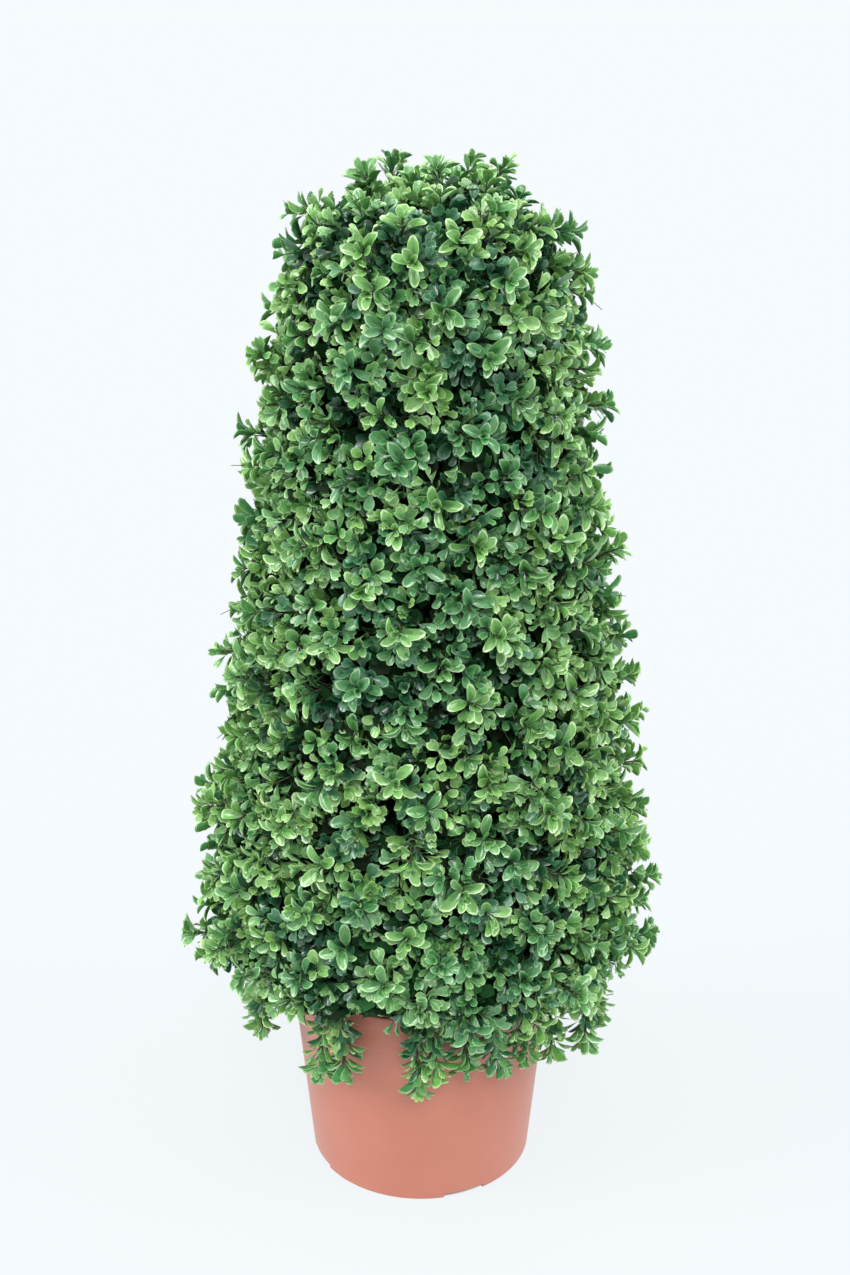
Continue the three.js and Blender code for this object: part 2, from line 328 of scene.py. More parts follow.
spray_share, spray_turn, surface_point, spray_out = evenly(SPRAY_COUNT, jitter=0.45)
spray_depth = random.normal(SPRAY_DEPTH, SPRAY_DEPTH_SPREAD, SPRAY_COUNT)
bold = random.random(SPRAY_COUNT) < BOLD_SHARE
spray_depth[bold] -= random.uniform(*BOLD_REACH, bold.sum())
at_top = spray_share > TOP_SHARE
spray_depth[at_top] = random.uniform(*TOP_DEPTHS, at_top.sum())
spray_depth = np.clip(spray_depth, *SPRAY_DEPTH_RANGE) + inset(surface_point)
spray_tip = surface_point - spray_out * spray_depth[:, None]
spray_aim = unit(spray_out + scatter(COVER_SCATTER, SPRAY_COUNT) - drooping(spray_tip))
kept = ~below_hem(spray_tip, spray_turn, SPRAY_HEM_MARGIN)
spray_tip, spray_out, spray_aim, spray_depth = (
    values[kept] for values in (spray_tip, spray_out, spray_aim, spray_depth)
)
cover_sprays = len(spray_tip)

# Hanging sprays over the pot's rim: turn, radius and the height of their tips. The back has its own.
HANGING = [
    (-38, 0.143, 0.146), (-29, 0.140, 0.150), (-1, 0.142, 0.147), (5, 0.138, 0.158), (16, 0.140, 0.166),
    (27, 0.143, 0.160), (37, 0.148, 0.164), (50, 0.150, 0.153), (61, 0.166, 0.153), (72, 0.166, 0.161),
    (-54, 0.150, 0.200), (-71, 0.152, 0.150), (-76, 0.154, 0.168), (-84, 0.150, 0.190), (88, 0.156, 0.182),
]
BACK_TURNS = np.radians(np.arange(102, 260, 13.0))
BACK_RADII = (0.140, 0.168)
BACK_HEIGHTS = (0.148, 0.185)
BACK_TURN_SPREAD = 0.05
HANG_OUTWARD = 0.22
HANG_SCATTER = 0.12
back_count = len(BACK_TURNS)
at_back = [
    BACK_TURNS + random.normal(0, BACK_TURN_SPREAD, back_count),
    random.uniform(*BACK_RADII, back_count),
    random.uniform(*BACK_HEIGHTS, back_count),
]
hanging = np.hstack([listed(HANGING), at_back])
hang_tip = at_turn(*hanging)
hang_out = around(hanging[0])
hang_aim = unit(hang_out * HANG_OUTWARD - UP + scatter(HANG_SCATTER, len(hang_tip)))

# Strays: sprays that stand well out of the crown: turn and height.
STRAYS = [
    (-86, 0.226), (91, 0.214), (-93, 0.362), (93, 0.384), (86, 0.282), (-58, 0.262), (38, 0.250),
    (4, 0.300), (-30, 0.330), (125, 0.240), (168, 0.270), (-150, 0.236), (-118, 0.290), (-90, 0.492),
    (-88, 0.686), (-91, 0.862), (88, 0.846), (93, 0.812), (90, 0.706), (92, 0.582), (89, 0.470),
    (150, 0.420), (-170, 0.520), (-140, 0.640), (95, 0.500), (84, 0.445), (91, 0.755), (130, 0.810),
    (20, 0.560), (-40, 0.620), (45, 0.720), (-15, 0.790), (60, 0.640), (-62, 0.500),
]
HIGH_STRAY = 0.8
HIGH_STRAY_REACH = -0.003
LOW_STRAY_REACH = 0.004
STRAY_UPWARD = 0.20
STRAY_SCATTER = 0.25
stray_turn, stray_height = listed(STRAYS)
stray_out = around(stray_turn)
stray_reach = np.where(stray_height > HIGH_STRAY, HIGH_STRAY_REACH, LOW_STRAY_REACH)
stray_reach += reach_at(stray_height)
stray_tip = at_turn(stray_turn, stray_reach, stray_height)
stray_aim = unit(stray_out + STRAY_UPWARD * UP + scatter(STRAY_SCATTER, len(stray_tip)))

# A few sprays that stand up round the flat top: turn, radius and the height of their tips.
UPRIGHT = [
    (84, 0.058, 0.897), (-80, 0.050, 0.891), (12, 0.030, 0.896), (140, 0.050, 0.898), (-150, 0.062, 0.896),
]
UPRIGHT_OUTWARD = 0.45
UPRIGHT_SCATTER = 0.15
upright = listed(UPRIGHT)
upright_aim = unit(UP + UPRIGHT_OUTWARD * around(upright[0]) + scatter(UPRIGHT_SCATTER, len(UPRIGHT)))
stray_tip = np.concatenate([stray_tip, at_turn(*upright)])
stray_tip[:, 0] += lean_at(stray_tip[:, 2])
stray_aim = np.concatenate([stray_aim, upright_aim])
stray_out = np.concatenate([stray_out, upright_aim])

# Where each spray's foot is looked for: this far inside its tip.
SPRAY_ROOT = 0.060
HANG_ROOT = 0.010
HANG_ROOT_RISE = 0.120
STRAY_ROOT = 0.075
all_tips = np.concatenate([spray_tip, hang_tip, stray_tip])
all_aims = np.concatenate([spray_aim, hang_aim, stray_aim])
root_wish = np.concatenate([
    spray_tip - spray_out * SPRAY_ROOT,
    hang_tip - hang_out * HANG_ROOT + UP * HANG_ROOT_RISE,
    stray_tip - stray_out * STRAY_ROOT,
])
spray_foot, spray_leave = grow_from(boughs, root_wish, 12, 0.55, 1.0)
sprays = Limbs(spray_foot, unit(spray_leave + 0.5 * all_aims), all_tips, all_aims, arrive_share=0.45)

# Twigs of the cover: side stems with notched leaves, closest to the surface round each spray's tip.
TWIG_COUNT = 4200
TWIG_DEPTH = 0.0184
TWIG_DEPTH_SPREAD = 0.0058
DEEPEST_TWIG = 0.042
HALF_WAY = 0.028
HALF_WAY_DEPTH = 0.008
CROWDED = 0.013
CROWDED_DEPTH = 0.006
EVEN_DEPTH = 0.0075  # of a spray whose twigs lie neither deeper nor higher than others
FOLLOW_SHARE = 0.3
TWIG_SPREAD = 0.4
TWIG_ROOT = 0.026
SPARSE_START = 0.022
SPARSE_RANGE = 0.012
MOST_LEFT_OUT = 0.6

_, twig_turn, twig_surface, twig_out = evenly(TWIG_COUNT, jitter=0.5)
cluster = nearest(twig_surface, spray_tip)
aside = np.linalg.norm(twig_surface - spray_tip[cluster], axis=1)
follow = spray_depth[cluster] - inset(spray_tip)[cluster] - EVEN_DEPTH
twig_depth = TWIG_DEPTH + HALF_WAY_DEPTH * (aside / HALF_WAY) ** 2 + FOLLOW_SHARE * follow
twig_depth += random.normal(0, TWIG_DEPTH_SPREAD, TWIG_COUNT)
twig_depth += inset(twig_surface)
twig_depth[aside < CROWDED] += CROWDED_DEPTH
twig_tip = twig_surface - twig_out * np.clip(twig_depth, 0, DEEPEST_TWIG)[:, None]
twig_spread = unit(twig_surface - spray_tip[cluster]) * TWIG_SPREAD
twig_aim = unit(twig_out + twig_spread + scatter(COVER_SCATTER, TWIG_COUNT) - drooping(twig_tip))
sparse = np.clip((aside - SPARSE_START) / SPARSE_RANGE, 0, 1) * MOST_LEFT_OUT
kept = ~below_hem(twig_tip, twig_turn, 0.0) & (random.random(TWIG_COUNT) > sparse)
twig_tip, twig_out, twig_aim, twig_depth, cluster = (
    values[kept] for values in (twig_tip, twig_out, twig_aim, twig_depth, cluster)
)


def side_twigs(rows, count, first, step, reach, opening, facing=None):
    """Twigs that leave the given sprays at golden-angle turns, from the tip down, with the way they face."""
    tips, aims, outs = [], [], []
    for number in range(count):
        point, along = sprays.below_tip(first + step * number)
        turn = number * GOLDEN_ANGLE + random.uniform(-0.4, 0.4, len(point))
        aside, _, aim = opened(along, turn, opening + random.uniform(-14, 14, len(point)))
        length = reach * random.uniform(0.75, 1.15, len(point))[:, None]
        tips.append((point + aim * length)[rows])
        aims.append(aim[rows])
        outs.append(aside[rows] if facing is None else facing)
    return np.concatenate(tips), np.concatenate(aims), np.concatenate(outs)


hanging_rows = slice(cover_sprays, cover_sprays + len(hang_tip))
stray_rows = slice(cover_sprays + len(hang_tip), None)
bold_rows = np.flatnonzero(spray_depth < BOLD_DEPTH)
extra = [
    # how many, the first one's distance below the tip, step, reach and opening
    side_twigs(hanging_rows, 14, 0.004, 0.0056, 0.011, 36, hang_out),
    side_twigs(stray_rows, 4, 0.006, 0.0100, 0.011, 34),
    side_twigs(bold_rows, 4, 0.006, 0.0060, 0.011, 44),
]
twig_tip, twig_aim, twig_out = (
    np.concatenate(parts) for parts in zip((twig_tip, twig_aim, twig_out), *extra)
)
twig_depth = np.concatenate([twig_depth, np.zeros(len(twig_tip) - len(twig_depth))])
twig_foot, twig_leave = grow_from(sprays, twig_tip - twig_aim * TWIG_ROOT, 11, 0.25, 0.94)
twigs = Limbs(twig_foot, unit(twig_leave + twig_aim), twig_tip, twig_aim)

# Bare tips: hair-thin ends without leaves.
BARE_COUNT = 70
BARE_REACH = (0.012, 0.022)
bare_number = random.choice(cover_sprays, BARE_COUNT, replace=False)
bare_foot, bare_leave = sprays.at(random.uniform(0.7, 0.95, len(all_tips)))
bare_aim = unit(spray_aim[bare_number] + scatter(0.5, BARE_COUNT))
bare_tip = spray_tip[bare_number] + bare_aim * random.uniform(*BARE_REACH, BARE_COUNT)[:, None]
bare_tip = np.where(is_free(bare_tip)[:, None], bare_tip, spray_tip[bare_number])
bare_tips = Limbs(bare_foot[bare_number], bare_leave[bare_number], bare_tip, bare_aim)

# ---- leaves as lists of places

LEAF_CURL = 0.9
CURL_SPREAD = 0.35
SIZE_SPREAD = 0.09


class Leaves:
    """Places, directions, upper sides, sizes and tints of leaves of one kind."""

    def __init__(self):
        self.rows = []

    def add(self, place, along, upper, width, length, curl, tint):
        count = len(place)
        size = np.stack([np.broadcast_to(v, count) for v in (width, length, curl)], axis=1)
        self.rows.append((place, along, upper, size, np.broadcast_to(tint, count)))

    def add_pairs(self, stems, below, start, opening, width, length, tint, keep, petiole=0.0,
                  opening_spread=11, twist_spread=14, face=None, face_share=0.0):
        """A pair of leaves on each stem at a distance below its tip, opened from the stem's direction."""
        point, direction = stems.below_tip(below)
        count = len(point)
        for half_turn in (0, math.pi):
            turn = start + half_turn + random.normal(0, TURN_JITTER, count)
            degrees = opening + random.normal(0, opening_spread, count)
            aside, angle, along = opened(direction, turn, degrees)
            upper = unit(direction * np.sin(angle) - aside * np.cos(angle))
            if face is not None:
                upper = upper + face * face_share
                upper = unit(upper - along * (upper * along).sum(axis=1, keepdims=True))
            twist = np.radians(random.normal(0, twist_spread, count))[:, None]
            upper = upper * np.cos(twist) + np.cross(along, upper) * np.sin(twist)
            size = 1 + random.normal(0, SIZE_SPREAD, count)
            kept = random.random(count) < keep
            curl = length * LEAF_CURL * (1 + random.normal(0, CURL_SPREAD, count))
            rows = (point + aside * petiole, along, upper, width * size, length * size, curl)
            self.add(*(values[kept] for values in rows), np.broadcast_to(tint, count)[kept])

    def gathered(self):
        """All leaves whose middle and tip are free, as five arrays."""
        place, along, upper, size, tint = (np.concatenate(part) for part in zip(*self.rows))
        free = np.ones(len(place), bool)
        for share in (0.1, 0.5, 1.0):
            free &= is_free(place + along * size[:, 1:2] * share)
        return place[free], along[free], upper[free], size[free], tint[free]


def deal(count, weights):
    """A tint number for each spray or twig, by weight."""
    return random.choice(len(weights), count, p=np.array(weights) / sum(weights))


# Painted light: lighter greens where the side lights and the light from above fall.
LIT_SIDE_CHANCE = 0.7
SIDE_START = 0.45
SIDE_RANGE = 0.3
LIT_TOP_CHANCES = [(0.78, 0.15), (0.872, 0.40)]  # above this height, this much more painted light


def painted_light_tints(tints, tips, lighter):
    """Painted light: the tints, with more of the lighter greens on the crown's two sides and round its top,
    where more light falls.
    """
    sideways = np.abs(tips[:, 0]) / np.maximum(np.linalg.norm(tips[:, :2], axis=1), 0.01)
    at_side = LIT_SIDE_CHANCE * np.clip((sideways - SIDE_START) / SIDE_RANGE, 0, 1)
    near_top = sum(chance * (tips[:, 2] > height) for height, chance in LIT_TOP_CHANCES)
    chosen = random.random(len(tints)) < np.maximum(at_side, near_top)
    return np.where(chosen, np.array(lighter)[tints], tints)


rosette_leaves, notched_leaves, round_leaves, inner_leaves = (Leaves() for _ in range(4))

spray_tint = painted_light_tints(deal(len(all_tips), [3, 4, 3]), all_tips, [1, 1, 0])
spray_roll = random.uniform(0, FULL_TURN, len(all_tips))
ROUND_SHARE = 0.35
SMALL_WEIGHTS = [4, 4, 3, 2.4]
# The darkest tints are painted shade: for leaves further down the sprays and on deep twigs.
SHADED_LARGE_TINT = 3
SHADED_SMALL_TINT = 4
ROSETTE = [
    # below the tip, roll in quarter turns, opening, width, length
    (0.0095, 0, 64, 0.0090, 0.0208),
    (0.0060, 1, 56, 0.0090, 0.0202),
    (0.0025, 0.5, 41, 0.0080, 0.0162),
    (0.0008, 1.5, 26, 0.0056, 0.0100),
]
for below, roll, opening, width, length in ROSETTE:
    rosette_leaves.add_pairs(sprays, below, spray_roll + roll * QUARTER_TURN, opening, width, length,
                             spray_tint, keep=0.93, twist_spread=18)
# Pairs further down each spray, deeper in the crown, take the darkest large tint: painted shade.
for number in range(3):
    below = 0.018 + 0.010 * number
    rosette_leaves.add_pairs(sprays, below, spray_roll + number * QUARTER_TURN, 50, 0.0096, 0.0180,
                             SHADED_LARGE_TINT, keep=0.85, opening_spread=9, twist_spread=20)

DEEP_TWIG = 0.026
SHADED_CHANCE = 0.6
SLIM_HEM = 0.20
SLIM_SPRAY = 0.78
PETIOLE = 0.001
SLIM_BELOW = 0.290
SLIM_RANGE = 0.070
twig_count = len(twig_tip)
twig_tint = deal(twig_count, SMALL_WEIGHTS)
spray_tone = deal(cover_sprays, SMALL_WEIGHTS)
follows = np.flatnonzero(random.random(len(cluster)) < 0.5)
twig_tint[follows] = spray_tone[cluster[follows]]
# Deep twigs often take the darkest small tint: painted shade.
deep = twig_depth > DEEP_TWIG
twig_tint[deep & (random.random(twig_count) < SHADED_CHANCE)] = SHADED_SMALL_TINT
twig_tint = painted_light_tints(twig_tint, twig_tip, [3, 1, 1, 3, SHADED_SMALL_TINT])
twig_roll = random.uniform(0, FULL_TURN, twig_count)
NOTCHED = [
    # the same, and the share kept
    (0.0128, 0, 56, 0.0098, 0.0160, 0.85),
    (0.0064, 1, 51, 0.0098, 0.0158, 0.95),
    (0.0012, 0, 34, 0.0078, 0.0124, 0.9),
]
# The leaves are slimmer near the hem, and on the sprays that hang or stand out.
near_hem = np.clip((SLIM_BELOW - twig_tip[:, 2]) / SLIM_RANGE, 0, 1)
slimness = np.where(np.arange(twig_count) < len(cluster), 1 - SLIM_HEM * near_hem, SLIM_SPRAY)
has_round = random.random(twig_count) < ROUND_SHARE
for leaves, chosen in ((notched_leaves, ~has_round), (round_leaves, has_round)):
    for below, roll, opening, width, length, keep in NOTCHED:
        leaves.add_pairs(twigs, below, twig_roll + roll * QUARTER_TURN, opening, width * slimness, length,
                         twig_tint, keep * chosen, PETIOLE, face=twig_out + 0.4 * UP, face_share=0.5)

# Inner leaves: large, on the boughs' ends and the sprays' feet, dark as painted shade of the crown's inside,
# and less dark low down.
INNER_COUNT = 10500
INNER_DEPTHS = (0.028, 0.062)
INNER_WIDTH = 0.0155
INNER_LENGTH = 0.0185
INNER_CURL = 0.8
INNER_SET_BACK = 0.009
INNER_HEM_MARGIN = -0.008
INNER_TOP_DEPTH = 0.008
LIGHTER_CHANCE = 0.6
INNER_WEIGHTS = [3, 2]
LIGHTER_INNER_TINT = 2
LIGHTER_BELOW = 0.34
inner_share, inner_turn, inner_surface, inner_out = evenly(INNER_COUNT, jitter=0.5)
inner_depth = random.uniform(*INNER_DEPTHS, INNER_COUNT)
inner_depth[inner_share > TOP_SHARE] += INNER_TOP_DEPTH
inner_along = unit(inner_out * 0.5 + random.normal(0, 1, (INNER_COUNT, 3)))
inner_across = np.cross(inner_along, inner_out + random.normal(0, 0.3, (INNER_COUNT, 3)))
inner_upper = unit(np.cross(inner_across, inner_along))
inner_place = inner_surface - inner_out * inner_depth[:, None] - inner_along * INNER_SET_BACK
inner_tint = deal(INNER_COUNT, INNER_WEIGHTS)
low = inner_place[:, 2] < LIGHTER_BELOW
inner_tint[low & (random.random(INNER_COUNT) < LIGHTER_CHANCE)] = LIGHTER_INNER_TINT
kept = ~below_hem(inner_place, inner_turn, INNER_HEM_MARGIN)
inner_leaves.add(inner_place[kept], inner_along[kept], inner_upper[kept],
                 INNER_WIDTH, INNER_LENGTH, INNER_LENGTH * INNER_CURL, inner_tint[kept])

# The innermost leaves are wider and as dark, painted shade, so that no light comes through the crown.
CORE_COUNT = 3600
CORE_DEPTHS = (0.060, 0.085)
CORE_WIDTH = 0.024
CORE_LENGTH = 0.028
_, _, core_surface, core_out = evenly(CORE_COUNT, jitter=0.5)
core_place = core_surface - core_out * random.uniform(*CORE_DEPTHS, (CORE_COUNT, 1))
core_along = unit(np.cross(core_out, random.normal(0, 1, (CORE_COUNT, 3))))
core_upper = unit(core_out + random.normal(0, 0.35, (CORE_COUNT, 3)))
inner_leaves.add(core_place, core_along, core_upper, CORE_WIDTH, CORE_LENGTH, CORE_LENGTH * INNER_CURL,
                 deal(CORE_COUNT, INNER_WEIGHTS))

# ---- nodes, for materials and shapes


def set_inputs(tree, node, values):
    """Sets or links a node's inputs, by name or number."""
    for key, value in values.items():
        if isinstance(value, bpy.types.NodeSocket):
            tree.links.new(value, node.inputs[key])
        else:
            node.inputs[key].default_value = value


def add_node(tree, kind, values=None, **settings):
    """A new node with its settings and its inputs."""
    node = tree.nodes.new(kind)
    for name, setting in settings.items():
        setattr(node, name, setting)
    set_inputs(tree, node, values or {})
    return node


def multiply_add(tree, value, factor, added):
    values = {0: value, 1: factor, 2: added}
    return add_node(tree, "ShaderNodeMath", values, operation="MULTIPLY_ADD").outputs["Value"]


def own_place(tree):
    """The place in the piece's own coordinates."""
    return add_node(tree, "ShaderNodeTexCoord").outputs["Object"]


def noise_at(tree, place, scale, detail):
    values = {"Vector": place, "Scale": scale, "Detail": detail}
    return add_node(tree, "ShaderNodeTexNoise", values).outputs["Fac"]


def blended(tree, amount, start, end, first, second):
    """One colour below the start, another above the end, and a blend between them."""
    ramp = add_node(tree, "ShaderNodeValToRGB", {"Fac": amount})
    for stop, position, colour in zip(ramp.color_ramp.elements, (start, end), (first, second)):
        stop.position = position
        stop.color = colour
    return ramp.outputs["Color"]


# ---- materials


def linear(*display):
    """A colour from its display values, 0 to 255."""
    return tuple(((c / 255 + 0.055) / 1.055) ** 2.4 for c in display) + (1.0,)


def set_shader(material, values):
    """Sets or links inputs of the material's shader."""
    tree = material.node_tree
    set_inputs(tree, tree.nodes["Principled BSDF"], values)


def plain_material(name, colour, roughness, specular=0.5):
    material = bpy.data.materials.new(name)
    material.use_nodes = True
    set_shader(material, {"Base Color": colour, "Roughness": roughness, "Specular IOR Level": specular})
    return material


def add_relief(material, height, distance, strength):
    values = {"Height": height, "Distance": distance, "Strength": strength}
    bump = add_node(material.node_tree, "ShaderNodeBump", values)
    set_shader(material, {"Normal": bump.outputs["Normal"]})


def grainy_material(name, colour, roughness, scale, distance, strength):
    """A rough material with a relief from one noise, and that noise."""
    material = plain_material(name, colour, roughness)
    tree = material.node_tree
    noise = noise_at(tree, own_place(tree), scale, 3.0)
    add_relief(material, noise, distance, strength)
    return material, noise


SMALL_COLOURS = [
    # blade and rim, as display values
    ((79, 141, 80), (127, 174, 119)),
    ((107, 164, 91), (153, 194, 129)),
    ((52, 112, 72), (95, 145, 106)),
    ((128, 178, 93), (170, 208, 138)),
    # painted shade: the darkest tint, for deep twigs
    ((29, 76, 44), (62, 113, 81)),
]
LARGE_COLOURS = [
    ((91, 151, 79), (158, 200, 138)),
    ((113, 168, 85), (178, 214, 147)),
    ((74, 137, 77), (137, 183, 127)),
    # painted shade: the darkest tint, for pairs further down the sprays
    ((44, 98, 59), (84, 137, 98)),
]
# Painted shade: the inner leaves are as dark as the inside of the crown.
INNER_SHADE_COLOURS = [(25, 60, 30), (32, 46, 28), (44, 92, 50)]
# Painted shade: the leaves' feet and heels are darker, for the shade in the crowded middle of each cluster.
FOOT_PAINTED_SHADE = (0.46, 0.57, 0.58)
HEEL_PAINTED_SHADE = (0.62, 0.75, 0.76)
LEAF_SPECULAR = 1.0


def shaded(colour, shade):
    """The colour with its red, green and blue each turned down to a share."""
    return tuple(channel * share for channel, share in zip(colour, shade)) + (1.0,)


def leaf_materials(name, colours, roughness):
    """Foot, heel, blade and rim for each tint: the foot and the heel are the blade's colour, darker, as
    painted shade of each cluster's crowded middle.
    """
    made = []
    for number, pair in enumerate(colours, 1):
        blade, rim = (linear(*colour) for colour in pair)
        parts = {
            "foot": shaded(blade, FOOT_PAINTED_SHADE),
            "heel": shaded(blade, HEEL_PAINTED_SHADE),
            "blade": blade,
            "rim": rim,
        }
        made.append([
            plain_material(f"{name}_{part}_{number}", colour, roughness, LEAF_SPECULAR)
            for part, colour in parts.items()
        ])
    return made


small_materials = leaf_materials("small_leaf", SMALL_COLOURS, roughness=0.33)
large_materials = leaf_materials("large_leaf", LARGE_COLOURS, roughness=0.30)
inner_materials = [
    [plain_material(f"shaded_inner_leaf_{number}", linear(*colour), roughness=0.85, specular=0.1)]
    for number, colour in enumerate(INNER_SHADE_COLOURS, 1)
]

twig_material = plain_material("twig_plastic", linear(58, 62, 34), 0.5)
bare_tip_material = plain_material("bough_plastic", linear(52, 42, 28), 0.6)

bark, bark_noise = grainy_material("bark", linear(84, 66, 48), 0.8, scale=300, distance=0.0012, strength=0.7)
bark_tone = blended(bark.node_tree, bark_noise, 0, 1, linear(52, 40, 30), linear(110, 88, 64))
set_shader(bark, {"Base Color": bark_tone})

# ---- node trees for leaves and sticks


def add_socket(tree, name, kind, way="INPUT"):
    tree.interface.new_socket(name, in_out=way, socket_type="NodeSocket" + kind)


def new_tree(name):
    tree = bpy.data.node_groups.new(name, "GeometryNodeTree")
    add_socket(tree, "Geometry", "Geometry")
    add_socket(tree, "Geometry", "Geometry", way="OUTPUT")
    return tree


def stored(tree, name, kind):
    node = add_node(tree, "GeometryNodeInputNamedAttribute", {"Name": name}, data_type=kind)
    return next(socket for socket in node.outputs if socket.enabled and socket.name == "Attribute")


def leaf_tree(name, tint_count, part_count):
    """Sets a leaf on each point, made real, with a material for each tint and each part of the leaf."""
    tree = new_tree(name)
    add_socket(tree, "Leaf", "Object")
    kinds = [(tint, part) for tint in range(tint_count) for part in range(part_count)]
    for tint, part in kinds:
        add_socket(tree, f"Material {tint} {part}", "Material")
    given = add_node(tree, "NodeGroupInput").outputs
    leaf = add_node(tree, "GeometryNodeObjectInfo", {"Object": given["Leaf"]})
    axes = {
        "Primary Axis": stored(tree, "along", "FLOAT_VECTOR"),
        "Secondary Axis": stored(tree, "upper", "FLOAT_VECTOR"),
    }
    turn = add_node(tree, "FunctionNodeAxesToRotation", axes, primary_axis="Y", secondary_axis="Z")
    place = add_node(tree, "GeometryNodeInstanceOnPoints", {
        "Points": given["Geometry"],
        "Instance": leaf.outputs["Geometry"],
        "Rotation": turn.outputs["Rotation"],
        "Scale": stored(tree, "size", "FLOAT_VECTOR"),
    })
    real = add_node(tree, "GeometryNodeRealizeInstances", {"Geometry": place.outputs["Instances"]})
    shape = real.outputs["Geometry"]
    tint_read = stored(tree, "tint", "INT")
    part_read = stored(tree, "part", "INT")
    for tint, part in kinds:
        code = multiply_add(tree, tint_read, part_count, part_read)
        values = {"A": code, "B": tint * part_count + part, "Epsilon": 0.1}
        same = add_node(tree, "FunctionNodeCompare", values, data_type="FLOAT", operation="EQUAL")
        paint = add_node(tree, "GeometryNodeSetMaterial", {
            "Geometry": shape,
            "Selection": same.outputs["Result"],
            "Material": given[f"Material {tint} {part}"],
        })
        shape = paint.outputs["Geometry"]
    add_node(tree, "NodeGroupOutput", {"Geometry": shape})
    return tree


def stick_tree():
    """Round sticks along edges, by the thickness of their points."""
    tree = new_tree("sticks")
    add_socket(tree, "Sides", "Int")
    add_socket(tree, "Material", "Material")
    given = add_node(tree, "NodeGroupInput").outputs
    curve = add_node(tree, "GeometryNodeMeshToCurve", {"Mesh": given["Geometry"]})
    ring = add_node(tree, "GeometryNodeCurvePrimitiveCircle", {"Radius": 1.0, "Resolution": given["Sides"]})
    sweep = add_node(tree, "GeometryNodeCurveToMesh", {
        "Curve": curve.outputs["Curve"],
        "Profile Curve": ring.outputs["Curve"],
        "Scale": stored(tree, "thickness", "FLOAT"),
        "Fill Caps": True,
    })
    real = add_node(tree, "GeometryNodeRealizeInstances", {"Geometry": sweep.outputs["Mesh"]})
    values = {"Geometry": real.outputs["Geometry"], "Material": given["Material"]}
    paint = add_node(tree, "GeometryNodeSetMaterial", values)
    add_node(tree, "NodeGroupOutput", {"Geometry": paint.outputs["Geometry"]})
    return tree


BASE_ATTRIBUTES = ("along", "upper", "size", "tint", "part", "thickness")


def new_object(name, data):
    made = bpy.data.objects.new(name, data)
    scene.collection.objects.link(made)
    return made


def grown(name, mesh, tree, values):
    """A plain mesh object from a base mesh and a node tree, with the modifier gone."""
    piece = new_object(name, mesh)
    modifier = piece.modifiers.new("grow", "NODES")
    modifier.node_group = tree
    for item in tree.interface.items_tree:
        if item.in_out == "INPUT" and item.name in values:
            modifier[item.identifier] = values[item.name]
    graph = bpy.context.evaluated_depsgraph_get()
    made = bpy.data.meshes.new_from_object(piece.evaluated_get(graph), depsgraph=graph)
    piece.modifiers.clear()
    piece.data = made
    made.name = name
    for attribute in list(made.attributes):
        if attribute.name in BASE_ATTRIBUTES:
            made.attributes.remove(attribute)
    return piece


def mesh_of(name, points, edges=(), faces=()):
    mesh = bpy.data.meshes.new(name)
    mesh.from_pydata(*([tuple(row) for row in rows] for rows in (points, edges, faces)))
    return mesh


def store(mesh, name, kind, values, domain="POINT"):
    field = "vector" if kind == "FLOAT_VECTOR" else "value"
    attribute = mesh.attributes.new(name, kind, domain)
    attribute.data.foreach_set(field, np.ascontiguousarray(values).ravel())


# ---- leaves

FOOT, HEEL, BLADE, RIM = 0, 1, 2, 3
# Points of a leaf: 0-4 along the rib, 5-9 up its right edge from foot to tip, 10-12 where the rim begins.
LEAF_FACES = [
    (FOOT, [0, 5, 1]),
    (HEEL, [1, 5, 10]),
    (HEEL, [1, 10, 2]),
    (BLADE, [2, 10, 11]),
    (BLADE, [2, 11, 12]),
    (BLADE, [2, 12, 3]),
    (RIM, [5, 6, 10]),
    (RIM, [6, 7, 11, 10]),
    (RIM, [7, 8, 12, 11]),
    (RIM, [8, 9, 12]),
    (RIM, [9, 4, 3, 12]),
]
FOLD_POWER = 1.8  # how sharply the blade folds up towards its edges
ARCH_MIDDLE = 0.30  # where along its length the blade is highest


def leaf_pattern(name, rib, edge, inner, fold, arch, faces=LEAF_FACES):
    """A leaf 1 long and 1 wide along +Y: the right half's points, mirrored, with a folded, arched blade."""
    right = edge + inner
    points = [(0.0, y) for y in rib] + right + [(-x, y) for x, y in right]
    shaped = [
        (x, y, fold * abs(2 * x) ** FOLD_POWER - arch * (y - ARCH_MIDDLE) ** 2 + arch * ARCH_MIDDLE ** 2)
        for x, y in points
    ]
    mirror = {n: n if n < len(rib) else n + len(right) for n in range(len(rib) + len(right))}
    polygons, parts = [], []
    for part, face in faces:
        polygons += [face, [mirror[n] for n in reversed(face)]]
        parts += [part, part]
    mesh = mesh_of(name, shaped, faces=polygons)
    store(mesh, "part", "INT", parts, domain="FACE")
    mesh.shade_smooth()
    return new_object(name, mesh)


MOST_TRIANGLES = 190_000
pieces = []  # each with the node that it replaces


def leaf_pieces(name, leaves, materials, **shape):
    """Joined leaves of one kind, in as few pieces as the triangle limit allows, split by height."""
    pattern = leaf_pattern(f"{name}_pattern", **shape)
    place, along, upper, size, tint = leaves.gathered()
    order = np.argsort(place[:, 2])
    leaf_triangles = sum(len(polygon.vertices) - 2 for polygon in pattern.data.polygons)
    piece_count = math.ceil(len(place) * leaf_triangles / MOST_TRIANGLES)
    tree = leaf_tree(name, len(materials), len(materials[0]))
    values = {"Leaf": pattern}
    for t, parts in enumerate(materials):
        values.update({f"Material {t} {p}": material for p, material in enumerate(parts)})
    for number, rows in enumerate(np.array_split(order, piece_count), 1):
        points = mesh_of(name, place[rows])
        for field, values_of in (("along", along), ("upper", upper), ("size", size)):
            store(points, field, "FLOAT_VECTOR", values_of[rows])
        store(points, "tint", "INT", tint[rows].astype(np.int32))
        pieces.append((grown(f"{name}_{number}", points, tree, values), "foliage"))
    bpy.data.objects.remove(pattern)


